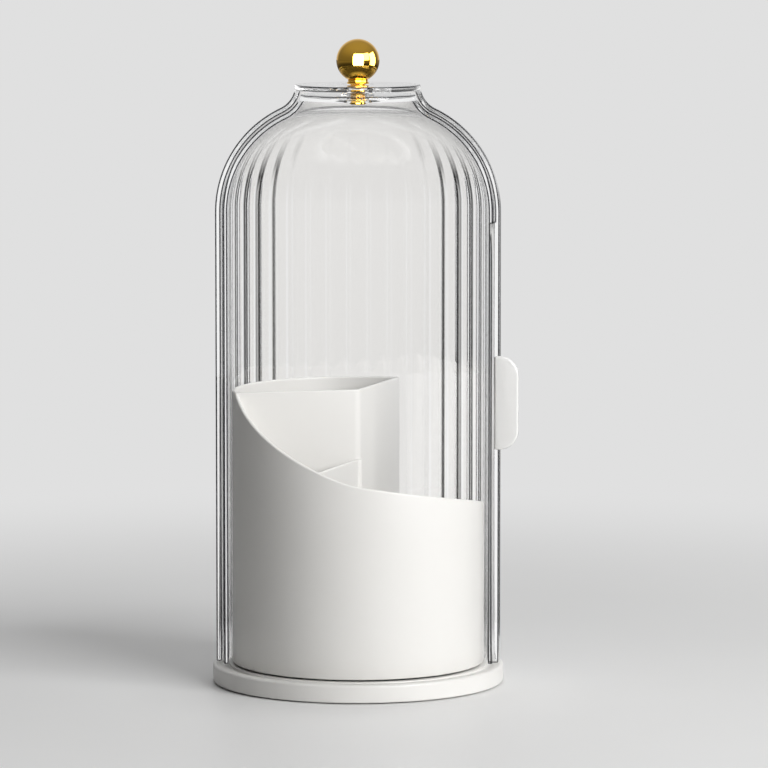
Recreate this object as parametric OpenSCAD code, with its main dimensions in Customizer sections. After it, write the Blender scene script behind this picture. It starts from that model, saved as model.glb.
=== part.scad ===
// Dustproof revolving organiser for brushes and cosmetics.
// A cup with compartments turns on a ball race over a round base. A clear fluted
// cover stands on the base: its rear half is fixed, and its outer half is a sliding
// door that turns about a sleeve under the knob, shown open behind the rear half.
// Millimetres. Origin: centre of the underside, on the table. +Z up, front is -Y.

/* [Cup] */
// Outer radius of the cup
cup_r = 63.2; // [54:0.1:76]
// Thickness of the cup's wall
cup_wall = 2; // [1.6:0.1:2.4]
// Thickness of the cup's floor
cup_floor = 2.2; // [2:0.1:3]
// Height of the high rear rim above the table
rim_high = 147.3; // [125:0.1:177]
// Height of the rim at the front, above the table
rim_front = 106; // [90:0.1:120]
// Height of the rim at the foot of its step, above the table
rim_low = 78.3; // [65:0.1:88]
// How late the rim starts its climb towards the left
rim_power = 1.4; // [1:0.1:2]
// Direction of the high divider on the right, degrees from +X
high_right_dir = 71; // [60:1:80]
// Direction of the high divider on the left, degrees from +X
high_left_dir = 193; // [185:1:205]
// Thickness of the dividers
divider_t = 1.8; // [1.4:0.1:2.4]
// Middle radius of the corner where the high dividers meet
divider_corner_r = 4; // [3:0.5:6]

/* [Cover] */
// Gap between the cup and the rear cover
cup_gap = 2.1; // [1.8:0.1:3]
// Thickness of the rear cover at its flutes' crests
rear_wall = 2.7; // [2.3:0.1:3.3]
// Running gap between the rear cover and the door
door_gap = 0.6; // [0.4:0.1:1]
// Thickness of the door at its flutes' crests
door_wall = 2.8; // [2.3:0.1:3.4]
// Height of the flat top above the table
cover_top = 300; // [250:1:360]
// Radius of the bell's shoulder, at the crests
shoulder_r = 57.5; // [48:0.5:69]
// Outer radius of the neck at the top
neck_r = 31.2; // [26:0.1:37.5]
// Radius of the hollow curve between the shoulder and the neck
neck_fillet = 13; // [10:0.5:15]
// Thickness of the round top plates
top_plate_t = 2.7; // [2.2:0.1:3.2]
// Gap between the two top plates
top_plate_gap = 2.2; // [1.8:0.1:2.8]
// Number of flutes in a full turn
flute_count = 40; // [36:1:48]
// Depth of the valleys between flutes
flute_depth = 1; // [0.6:0.1:1.2]
// How far the door reaches past the side, degrees
door_overhang = 6; // [4:1:8]
// Width of the door's inward stop lip
lip_w = 2.4; // [2:0.1:3]
// Gap between a stop and what it meets
stop_gap = 0.3; // [0.2:0.1:0.5]

/* [Handle] */
// Height of the handle tab
handle_h = 47; // [40:0.5:57]
// Height of the middle of the handle above the table
handle_mid = 141.5; // [110:0.5:170]
// How far the handle stands out from the door's inner face
handle_reach = 12.2; // [10:0.1:14.6]
// Height of each rounded corner of the handle
handle_corner = 9.6; // [8:0.1:11]
// Fullness of the handle's corners
handle_power = 1.7; // [1.4:0.1:2.2]
// Thickness of the handle
handle_t = 3; // [2.4:0.1:3.6]

/* [Knob] */
// Radius of the knob's ball
knob_r = 10.75; // [9:0.05:13]
// Radius of the collar under the ball
collar_r = 5.45; // [4.8:0.05:6.5]
// Height of the collar
collar_h = 2.2; // [1.8:0.1:2.7]
// Radius of the stud through the knob and the plates
stud_r = 2; // [1.7:0.1:2.4]
// Radius of the sleeve that the door turns on
sleeve_r = 3.7; // [3.1:0.1:4.5]
// Radius of the clear spacer between the plates
spacer_r = 8.4; // [7:0.1:10]
// Radius of the nut under the plates
nut_r = 4.15; // [3.5:0.05:5]
// Height of the nut
nut_h = 1.8; // [1.5:0.1:2.2]
// Thickness of the washer over the nut
nut_washer_t = 0.5; // [0.4:0.1:0.6]

/* [Base] */
// How far the base stands out past the door
base_margin = 1.7; // [1.4:0.1:2.2]
// Height of the ledge on the base above the table
base_h = 9.5; // [9.1:0.1:11.4]
// Radius of the base's upper edge
base_edge_r = 1.5; // [1:0.1:2]
// Radius of the base's lower edge
base_foot_r = 0.8; // [0.5:0.1:1]
// Width of the rim round the bottom plate
base_rim_w = 5.9; // [5:0.1:7]
// Width of the solid ring inside that rim, over the plate
base_ring_w = 9; // [8:0.1:11]
// Depth of the groove that holds the rear cover
groove_depth = 1.2; // [1:0.1:1.4]
// Gap on each side of the rear cover in its groove, and under both covers
seat_gap = 0.3; // [0.2:0.1:0.4]
// Height of the gap between the cup's skirt and the base
skirt_gap = 0.9; // [0.7:0.1:1.1]
// Thickness of the base's deck
deck_t = 1.8; // [1.5:0.1:2.1]
// Height of the hollow under the deck
cavity_h = 1.9; // [1.6:0.1:2.2]
// Thickness of the bottom plate
plate_t = 1.8; // [1.6:0.1:2.1]
// Thickness of the non-slip mat
mat_t = 1; // [0.9:0.1:1.2]
// How far the mat stands below the base's rim
mat_proud = 0.6; // [0.5:0.1:0.7]

/* [Turntable] */
// Distance from the cup's inner face to the ball circle
bearing_inset = 15.2; // [13:0.1:17]
// Radius of the bearing balls
ball_r = 2.5; // [2.3:0.1:3]
// Number of bearing balls
ball_count = 14; // [12:1:16]
// Play between a ball and its races
ball_play = 0.05; // [0.03:0.01:0.08]
// Thickness of the races behind the balls and at the flanges
race_t = 1.4; // [1.2:0.1:1.6]
// How deep a ball sits in each race
race_depth = 1.2; // [1:0.1:1.4]
// Half the width of a race round the balls
race_half_w = 5; // [4.5:0.1:5.5]
// Width of the races' inner flanges
flange_w = 13; // [11:0.5:14]
// Gap between the ball cage and each race
cage_gap = 0.55; // [0.4:0.05:0.7]
// Radius of the cup's spindle
spindle_r = 5; // [4.2:0.1:6]
// Play between the spindle and its bush
spindle_play = 0.06; // [0.04:0.01:0.09]

/* [Screws] */
// Radius of the small screws' threads
screw_r = 1.25; // [1.1:0.05:1.4]
// Radius of the small screws' heads
screw_head_r = 2.6; // [2.3:0.1:2.9]
// Height of the small screws' heads
screw_head_h = 1; // [0.8:0.1:1.1]
// Clearance round a screw in its hole
screw_play = 0.05; // [0.03:0.01:0.1]

/* [Hidden] */
$fn = 96;

// Small overlap that joins solids or clears a cut
eps = 0.01;
over = 1;

// Radii of the cover, from the cup outwards
cup_in_r = cup_r - cup_wall;
rear_in_r = cup_r + cup_gap;
rear_crest_r = rear_in_r + rear_wall;
door_in_r = rear_crest_r + door_gap;
crest_r = door_in_r + door_wall;
base_r = crest_r + base_margin;

// How far each face of the cover lies inside the door's crests
door_in_d = door_wall;
rear_out_d = door_wall + door_gap;
rear_in_d = rear_out_d + rear_wall;

// Bell: the shoulder's and the neck curve's centres in the plane of the axis
shoulder_x = crest_r - shoulder_r;
neck_x = neck_r + neck_fillet;
shoulder_z = cover_top - sqrt(pow(shoulder_r + neck_fillet, 2) - pow(neck_x - shoulder_x, 2));
// Direction from the shoulder's centre to the neck curve's centre
tangent_dir = atan2(cover_top - shoulder_z, neck_x - shoulder_x);
door_plate_z = cover_top - top_plate_t;
rear_top = door_plate_z - top_plate_gap;
rear_plate_z = rear_top - top_plate_t;

// Spans of the two half covers, degrees from +X
flute_deg = 360 / flute_count;
// How far the straight flutes lie inside the shoulder's curve
crest_relief = 0.3;
lip_deg = lip_w / rear_in_r * 180 / PI;
stop_deg = stop_gap / rear_in_r * 180 / PI;
door_from = -door_overhang;
door_to = 181;
rear_from = door_from + lip_deg + stop_deg;
rear_to = 180 - rear_from;
span_step = 45;
curve_step = 6;

// Feet of the covers
groove_z = base_h - groove_depth;
rear_foot = groove_z + seat_gap;
door_foot = base_h + seat_gap;

// Stack from the table up to the cup's floor
plate_z = mat_t;
cavity_z = plate_z + plate_t;
deck_z = cavity_z + cavity_h;
deck_top = deck_z + deck_t;
ball_z = deck_top + race_t + ball_play + ball_r;
lower_race_top = deck_top + race_t + race_depth;
upper_race_top = ball_z + ball_r + ball_play + race_t;
upper_race_z = upper_race_top - race_t - race_depth;
floor_z = upper_race_top;
floor_top = floor_z + cup_floor;
skirt_z = base_h + skirt_gap;

// Base
plate_clear = 0.2;
rebate_r = base_r - base_rim_w;
plate_r = rebate_r - plate_clear;
mat_r = plate_r - 1.5;
cavity_r = rebate_r - base_ring_w;
recess_r = cup_in_r - 0.7;
well_r = 12;
well_top = deck_top + 0.5;
boss_foot_r = well_r + 2;
boss_r = spindle_r + 3.5;
boss_top = floor_z - 1.8;
post_r = 3.5;

// Turntable
bearing_r = cup_in_r - bearing_inset;
race_in_r = bearing_r - race_half_w;
flange_in_r = race_in_r - flange_w;
cage_half_w = race_half_w - 1;
cage_t = 2 * (ball_z - lower_race_top - cage_gap);
pocket_r = ball_r + 0.2;
race_screw_r = race_in_r - 8;
race_screw_count = 3;
plate_screw_r = bearing_r + 4;
plate_screw_count = 4;
hole_r = screw_r + screw_play;
head_room = 0.3;
tip_room = 0.2;

// Spindle and its screw
end_play = 0.4;
washer_top = well_top - end_play;
washer_t = 1;
washer_r = spindle_r + 4;
big_screw_r = 1.7;
big_head_r = 3.6;
big_head_h = 2;
big_tip = floor_z + 0.2;

// Knob
collar_z = cover_top + seat_gap;
ball_seat_z = collar_z + collar_h;
collar_top_r = collar_r - 0.4;
knob_z = ball_seat_z + sqrt(knob_r * knob_r - collar_top_r * collar_top_r);
stud_play = 0.05;
sleeve_play = 0.06;
stud_top = knob_z - 3;
sleeve_z = rear_plate_z - nut_washer_t;
nut_z = sleeve_z - nut_h;
spacer_top = door_plate_z - seat_gap;

// Directions of the low dividers, degrees from +X
low_dirs = [251, 311, 371];
// How far the low dividers' tops lie below the rim
divider_drop = 1;
// Post where the low dividers meet
divider_post_r = 1.25 * divider_t;
// Where the rim's slope ends, a full turn on from the high divider on the right
slope_end = high_right_dir + 360;
front_dir = 270;
rim_step = 4;

white = [0.93, 0.92, 0.9];
clear = [0.84, 0.89, 0.92, 0.35];
gold = [0.86, 0.64, 0.2];
steel = [0.72, 0.73, 0.75];
rubber = [0.16, 0.16, 0.17];
nylon = [0.9, 0.9, 0.86];

// Height of the cup's rim in direction a, along its slope
function rim_line(a) = rim_front - (rim_front - rim_low) * (a - front_dir) / (slope_end - front_dir);
function rim_climb(a) = max(0, (front_dir - a) / (front_dir - high_left_dir));
function rim_z(a) = rim_line(a)
    + (rim_high - rim_line(high_left_dir)) * pow(rim_climb(a), rim_power);

// Bell curve at depth d inside the crests, from the shoulder up to height z_end
function arc(cx, cz, r, a0, a1, step) = let (n = ceil(abs(a1 - a0) / step))
    [for (i = [0:n]) let (a = a0 + (a1 - a0) * i / n) [cx + r * cos(a), cz + r * sin(a)]];
function neck_end(d, z_end) = 180 + asin((cover_top - z_end) / (neck_fillet + d));
function bell(d, z_end) = concat(
    arc(shoulder_x, shoulder_z, shoulder_r - d, 0, tangent_dir, curve_step),
    arc(neck_x, cover_top, neck_fillet + d, 180 + tangent_dir, neck_end(d, z_end), curve_step));
function bell_r(d, z_end) = neck_x - sqrt(pow(neck_fillet + d, 2) - pow(cover_top - z_end, 2));

// Radius of a flute's face that rises from a valley to a crest of radius r
function lobe_r(r) = let (v = r - flute_depth, h = v * sin(flute_deg / 2), s = r - v * cos(flute_deg / 2))
    (h * h + s * s) / (2 * s);

module at_circle(count, r, turn = 0) {
    for (i = [0:count - 1])
        rotate(turn + i * 360 / count) translate([r, 0, 0]) children();
}

module sector(a0, a1, r) {
    n = ceil((a1 - a0) / span_step);
    polygon(concat([[0, 0]], [for (i = [0:n]) let (a = a0 + (a1 - a0) * i / n) r * [cos(a), sin(a)]]));
}

module ring(r_out, r_in, z0, z1) {
    translate([0, 0, z0]) difference() {
        cylinder(r = r_out, h = z1 - z0);
        translate([0, 0, -over]) cylinder(r = r_in, h = z1 - z0 + 2 * over);
    }
}

module rod(r, z0, z1) {
    translate([0, 0, z0]) cylinder(r = r, h = z1 - z0);
}

// Straight fluted wall, up to just inside the bell's lower end
module fluted_wall(r_crest, r_in, z0) {
    lobe = lobe_r(r_crest - crest_relief);
    translate([0, 0, z0]) linear_extrude(shoulder_z - over - z0) difference() {
        union() {
            for (i = [0:flute_count - 1])
                rotate(i * flute_deg) translate([r_crest - crest_relief - lobe, 0]) circle(lobe);
        }
        circle(r_in);
    }
}

// Dome and neck between depths d_out and d_in inside the crests
module bell_shell(d_out, d_in, z_top, z_plate) {
    inner = bell(d_in, z_plate);
    r_in = bell_r(d_in, z_plate) - over;
    z_low = shoulder_z - 2 * over;
    rotate_extrude() polygon(concat([[crest_r - d_out, z_low]], bell(d_out, z_top),
        [[r_in, z_top], [r_in, z_plate]],
        [for (i = [len(inner) - 1:-1:0]) inner[i]], [[crest_r - d_in, z_low]]));
}

// Half of a bell-shaped cover, with what is drawn on it, cut out of the whole bell by upright planes
module half_cover(r_crest, r_in, d_out, d_in, a0, a1, z_foot, z_top, z_plate) {
    intersection() {
        union() {
            fluted_wall(r_crest, r_in, z_foot);
            bell_shell(d_out, d_in, z_top, z_plate);
            children();
        }
        translate([0, 0, z_foot - over]) linear_extrude(z_top - z_foot + 2 * over)
            sector(a0, a1, 1.5 * r_crest);
    }
}

module non_slip_mat() {
    color(rubber) rod(mat_r, 0, mat_t);
}

module base_bottom_plate() {
    color(white) difference() {
        rod(plate_r, plate_z, cavity_z);
        at_circle(plate_screw_count, plate_screw_r) {
            rod(screw_head_r + head_room, plate_z - over, plate_z + screw_head_h + tip_room);
            rod(screw_r + head_room, plate_z, cavity_z + over);
        }
    }
}

module base_plate_screws() {
    head_z = plate_z + tip_room;
    color(steel) at_circle(plate_screw_count, plate_screw_r) {
        rod(screw_head_r, head_z, head_z + screw_head_h);
        rod(screw_r, head_z + screw_head_h - eps, deck_top - 0.5 - tip_room);
    }
}

// Outside of the base: a disc with rounded edges
module base_outline() {
    rotate_extrude() {
        translate([0, mat_proud]) square([base_r - base_edge_r, base_h - mat_proud]);
        translate([0, mat_proud + base_foot_r])
            square([base_r, base_h - base_edge_r - mat_proud - base_foot_r]);
        translate([base_r - base_edge_r, base_h - base_edge_r]) circle(base_edge_r);
        translate([base_r - base_edge_r, mat_proud])
            square([base_edge_r - base_foot_r, base_foot_r + eps]);
        translate([base_r - base_foot_r, mat_proud + base_foot_r]) circle(base_foot_r);
    }
}

module base_tray() {
    color(white) difference() {
        union() {
            difference() {
                base_outline();
                ring(rear_crest_r + seat_gap, rear_in_r - seat_gap, groove_z, base_h + over);
                rod(recess_r, deck_top, base_h + over);
                rod(rebate_r, 0, cavity_z);
                rod(cavity_r, cavity_z - eps, deck_z);
            }
            rod(boss_foot_r, deck_z, well_top + deck_t);
            rod(boss_r, deck_z, boss_top);
            at_circle(plate_screw_count, plate_screw_r) rod(post_r, cavity_z, deck_z + eps);
            at_circle(race_screw_count, race_screw_r) rod(post_r, cavity_z, deck_z + eps);
        }
        rod(well_r, deck_z - over, well_top);
        rod(spindle_r + spindle_play, deck_z, boss_top + over);
        at_circle(plate_screw_count, plate_screw_r) rod(hole_r, cavity_z - over, deck_top - 0.5);
        at_circle(race_screw_count, race_screw_r)
            rod(hole_r, cavity_z + 0.5, deck_top + over);
    }
}

// A race lying flat side down at height 0: groove ring and inner flange
module race() {
    difference() {
        union() {
            ring(bearing_r + race_half_w, race_in_r, 0, race_t + race_depth);
            ring(race_in_r + eps, flange_in_r, 0, race_t);
        }
        translate([0, 0, race_t + ball_play + ball_r]) rotate_extrude()
            translate([bearing_r, 0]) circle(ball_r + ball_play);
        at_circle(race_screw_count, race_screw_r) rod(hole_r, -over, race_t + over);
    }
}

module lower_race() {
    color(steel) translate([0, 0, deck_top]) race();
}

module lower_race_screws() {
    head_z = deck_top + race_t;
    color(steel) at_circle(race_screw_count, race_screw_r) {
        rod(screw_head_r, head_z, head_z + screw_head_h);
        rod(screw_r, cavity_z + 0.5 + tip_room, head_z + eps);
    }
}

module bearing_balls() {
    color("silver") at_circle(ball_count, bearing_r) translate([0, 0, ball_z]) sphere(ball_r);
}

module ball_cage() {
    color(nylon) difference() {
        ring(bearing_r + cage_half_w, bearing_r - cage_half_w, ball_z - cage_t / 2, ball_z + cage_t / 2);
        at_circle(ball_count, bearing_r) rod(pocket_r, ball_z - cage_t, ball_z + cage_t);
    }
}

module upper_race() {
    color(steel) translate([0, 0, upper_race_top]) rotate([180, 0, 0]) race();
}

module upper_race_screws() {
    head_top = upper_race_top - race_t;
    color(steel) rotate([180, 0, 0]) at_circle(race_screw_count, race_screw_r) {
        rod(screw_head_r, -head_top, -head_top + screw_head_h);
        rod(screw_r, -(floor_top - 0.3 - tip_room), -head_top + eps);
    }
}

module retaining_screw() {
    head_top = washer_top - washer_t;
    color(steel) {
        rod(big_head_r, head_top - big_head_h, head_top);
        rod(big_screw_r, head_top - eps, big_tip);
    }
}

module retaining_washer() {
    color("silver") ring(washer_r, big_screw_r + screw_play, washer_top - washer_t, washer_top);
}

// Body swept above the rim's slope, to cut the cup's wall
module rim_cutter() {
    r_in = cup_in_r - 3;
    r_out = cup_r + 3;
    z_top = rim_high + 5;
    n = ceil((slope_end - high_left_dir) / rim_step);
    dirs = [for (i = [0:n]) high_left_dir + (slope_end - high_left_dir) * i / n];
    points = [for (a = dirs) each [
        [r_in * cos(a), r_in * sin(a), rim_z(a)], [r_out * cos(a), r_out * sin(a), rim_z(a)],
        [r_out * cos(a), r_out * sin(a), z_top], [r_in * cos(a), r_in * sin(a), z_top]]];
    sides = [for (i = [0:n - 1]) for (k = [0:3]) let (p = 4 * i + k, q = 4 * i + (k + 1) % 4)
        each [[q + 4, p + 4, p], [q, q + 4, p]]];
    ends = [[2, 1, 0], [3, 2, 0], [4 * n, 4 * n + 1, 4 * n + 2], [4 * n, 4 * n + 2, 4 * n + 3]];
    polyhedron(points, concat(sides, ends));
}

// Plan of the two high dividers and the round corner between them
module high_dividers_plan() {
    half = (high_left_dir - high_right_dir) / 2;
    reach = cup_in_r + cup_wall / 2;
    corner_x = divider_corner_r / sin(half);
    left = reach * [cos(half), sin(half)];
    right = reach * [cos(half), -sin(half)];
    left_side = divider_t / 2 * [-sin(half), cos(half)];
    right_side = divider_t / 2 * [-sin(half), -cos(half)];
    rotate((high_left_dir + high_right_dir) / 2) polygon(concat([left + left_side],
        arc(corner_x, 0, divider_corner_r + divider_t / 2, 90 + half, 270 - half, curve_step),
        [right + right_side, right - right_side],
        arc(corner_x, 0, divider_corner_r - divider_t / 2, 270 - half, 90 + half, curve_step),
        [left - left_side]));
}

module brush_cup() {
    spindle_foot = washer_top;
    divider_z = floor_top - over;
    color(white) difference() {
        union() {
            difference() {
                ring(cup_r, cup_in_r, skirt_z, rim_high);
                rim_cutter();
            }
            translate([0, 0, divider_z]) linear_extrude(rim_high - divider_z) high_dividers_plan();
            for (a = low_dirs) rotate(a) translate([divider_t / 2, -divider_t / 2, divider_z])
                cube([cup_in_r, divider_t, rim_z(a) - divider_drop - divider_z]);
            rod(divider_post_r, divider_z, rim_z(low_dirs[0]) - divider_drop);
            rod(cup_in_r + cup_wall / 2, floor_z, floor_top);
            rod(spindle_r, spindle_foot, divider_z);
        }
        rod(big_screw_r + screw_play, spindle_foot - over, big_tip + tip_room);
        rotate([180, 0, 0]) at_circle(race_screw_count, race_screw_r)
            rod(hole_r, -(floor_top - 0.3), -floor_z + over);
    }
}

module rear_cover() {
    color(clear) difference() {
        union() {
            half_cover(rear_crest_r, rear_in_r, rear_out_d, rear_in_d, rear_from, rear_to,
                rear_foot, rear_top, rear_plate_z);
            rod(bell_r(rear_out_d, rear_top), rear_plate_z, rear_top);
        }
        rod(sleeve_r + stud_play, rear_plate_z - over, rear_top + over);
    }
}

module plate_spacer() {
    color(clear) ring(spacer_r, sleeve_r + stud_play, rear_top, spacer_top);
}

module lock_nut() {
    color(gold) ring(nut_r, stud_r + stud_play, nut_z, sleeve_z);
}

module nut_washer() {
    color(nylon) ring(nut_r + 0.8, sleeve_r + stud_play, sleeve_z, rear_plate_z);
}

module pivot_sleeve() {
    color(gold) ring(sleeve_r, stud_r + stud_play, sleeve_z, collar_z);
}

module pivot_stud() {
    color(steel) rod(stud_r, nut_z, stud_top);
}

module knob_collar() {
    waist = 0.5;
    color(gold) rotate_extrude() difference() {
        union() {
            translate([stud_r + stud_play, collar_z]) square([collar_r - waist - stud_r, collar_h]);
            translate([collar_r - collar_h / 4, collar_z + collar_h / 4]) circle(collar_h / 4);
            translate([stud_r + 1, collar_z]) square([collar_r - collar_h / 4 - stud_r - 1, collar_h / 2]);
        }
        translate([0, collar_z - over]) square([stud_r + stud_play, collar_h + 2 * over]);
    }
}

module knob_ball() {
    color(gold) difference() {
        translate([0, 0, knob_z]) sphere(knob_r);
        rod(collar_r + over, knob_z - knob_r - over, ball_seat_z);
        rod(stud_r + stud_play, ball_seat_z - over, stud_top + tip_room);
    }
}

module sliding_door() {
    plate_r_out = bell_r(0, cover_top);
    lip_top = shoulder_z - 4 * over;
    color(clear) difference() {
        union() {
            half_cover(crest_r, door_in_r, 0, door_in_d, door_from, door_to,
                    door_foot, cover_top, door_plate_z)
                translate([0, 0, door_foot]) linear_extrude(lip_top - door_foot) intersection() {
                    difference() {
                        circle(door_in_r + door_wall / 2);
                        circle(rear_in_r + stop_gap);
                    }
                    sector(door_from - lip_deg, door_from + lip_deg, 2 * crest_r);
                }
            rod(plate_r_out, door_plate_z, cover_top);
        }
        rod(sleeve_r + sleeve_play, door_plate_z - over, cover_top + over);
    }
}

// D-shaped tab that stands out from the door's leading edge
module door_handle() {
    r_flat = door_in_r + 1.8;
    width = door_in_r + handle_reach - r_flat;
    corner_z = handle_h / 2 - handle_corner;
    n = 10;
    corner = [for (i = [0:n]) let (a = 90 - 90 * i / n)
        [r_flat + width * pow(cos(a), 2 / handle_power), corner_z + handle_corner * pow(sin(a), 2 / handle_power)]];
    outline = concat([[door_in_r, handle_h / 2]], corner,
        [for (i = [n:-1:0]) [corner[i][0], -corner[i][1]]], [[door_in_r, -handle_h / 2]]);
    color(white) rotate(door_from) translate([0, 0, handle_mid]) rotate([90, 0, 0])
        linear_extrude(handle_t) polygon(outline);
}

non_slip_mat();
base_bottom_plate();
base_plate_screws();
base_tray();
lower_race();
lower_race_screws();
bearing_balls();
ball_cage();
upper_race();
upper_race_screws();
retaining_screw();
retaining_washer();
brush_cup();
rear_cover();
plate_spacer();
lock_nut();
nut_washer();
pivot_sleeve();
pivot_stud();
knob_collar();
knob_ball();
sliding_door();
door_handle();
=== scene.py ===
"""Looks of a clear-domed turning organiser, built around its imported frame.

Sizes are in millimetres and degrees, as a maker's drawing has them. A mesh is
turned into metres when it is settled into the scene. The studio's own places and
sizes are in metres.
"""

import logging
import math
from dataclasses import dataclass
from enum import Enum
from typing import Any, Callable, Mapping, Sequence

import bmesh
import bpy
from bmesh.types import BMEdge, BMesh, BMFace, BMVert
from mathutils import Matrix, Vector

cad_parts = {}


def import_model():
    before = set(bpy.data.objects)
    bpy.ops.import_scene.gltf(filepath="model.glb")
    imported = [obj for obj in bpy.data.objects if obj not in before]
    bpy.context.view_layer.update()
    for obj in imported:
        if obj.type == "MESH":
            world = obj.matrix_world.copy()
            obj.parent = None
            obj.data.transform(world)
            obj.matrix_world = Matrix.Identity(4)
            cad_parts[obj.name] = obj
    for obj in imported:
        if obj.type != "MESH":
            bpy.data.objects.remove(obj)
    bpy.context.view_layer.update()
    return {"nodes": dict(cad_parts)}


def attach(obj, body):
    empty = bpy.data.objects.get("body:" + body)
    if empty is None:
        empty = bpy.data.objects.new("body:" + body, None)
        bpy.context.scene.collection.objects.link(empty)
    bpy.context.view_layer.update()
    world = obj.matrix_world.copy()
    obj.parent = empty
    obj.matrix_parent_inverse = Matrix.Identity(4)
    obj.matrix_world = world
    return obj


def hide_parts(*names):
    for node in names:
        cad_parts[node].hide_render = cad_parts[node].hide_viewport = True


Colour = tuple[float, float, float]
Place = tuple[float, float, float]
Point = tuple[float, float]
Span = tuple[float, float]
Settings = Mapping[str, Any] | None
Inputs = Mapping[str | int, Any] | None

MM = 0.001
ORIGIN: Place = (0.0, 0.0, 0.0)
UP: Place = (0.0, 0.0, 1.0)
QUARTER_TURN, HALF_TURN, WHOLE_TURN = 90.0, 180.0, 360.0

# Vertices nearer than this are one vertex.
SAME_SPOT = 0.0005
# Sizes are compared with this much slack.
SLACK = 0.01

# Numbers of a ray's bounces, between two whole numbers. Past both of the last
# two, a ray is taken to run on inside a clear wall.
NO_BOUNCE = 0.5
LONGEST_PATH = 4.5
MOST_MIRRORED = 3.5

# The Layer Weight blend at which Facing is the plain share turned away.
UNBENT = 0.5

# Edges are rounded where their faces meet at more than this, on turned pieces and
# on plates.
SHARP_TURNED, SHARP_PLATE = 40.0, 60.0

# Material numbers of the faces of a clear half that aren't plain. The cut edge's faces carry
# painted shade.
FLUTED, CUT_EDGE_SHADE = 1, 2

log = logging.getLogger("organiser")


class Body(Enum):
    """The bodies that visible pieces ride on."""

    BASE = "base"
    CUP = "cup"
    COVER = "cover"
    DOOR = "door"


class Slot(Enum):
    """The record's material slots."""

    WHITE = "white_plastic"
    CLEAR = "clear_plastic"
    HANDLE = "handle_plastic"
    GOLD = "gold"
    STEEL = "steel"
    BALL = "ball_steel"
    NYLON = "nylon"
    FOAM = "foam_rubber"


# --------------------------------------------------------------------------
# Shader wiring


class Value:
    """A number on a shader socket. Arithmetic on it adds Math nodes."""

    def __init__(self, wiring: "Wiring", socket: bpy.types.NodeSocket) -> None:
        """Wraps a socket of that wiring's node tree."""
        self.wiring = wiring
        self.socket = socket

    def math(self, operation: str, *others: "Value | float", swap: bool = False) -> "Value":
        """Adds one Math node.

        Args:
            operation: the node's operation.
            others: its other inputs.
            swap: whether this value comes last.

        Returns:
            The node's result.
        """
        parts = [*others, self] if swap else [self, *others]
        inputs = dict(enumerate(parts))
        return self.wiring.value("ShaderNodeMath", {"operation": operation}, inputs)

    def __add__(self, other: "Value | float") -> "Value":
        """This plus other."""
        return self.math("ADD", other)

    __radd__ = __add__

    def __sub__(self, other: "Value | float") -> "Value":
        """This minus other."""
        return self.math("SUBTRACT", other)

    def __rsub__(self, other: float) -> "Value":
        """Other minus this."""
        return self.math("SUBTRACT", other, swap=True)

    def __mul__(self, other: "Value | float") -> "Value":
        """This times other."""
        return self.math("MULTIPLY", other)

    __rmul__ = __mul__

    def __pow__(self, other: "Value | float") -> "Value":
        """This to the power other."""
        return self.math("POWER", other)


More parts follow.
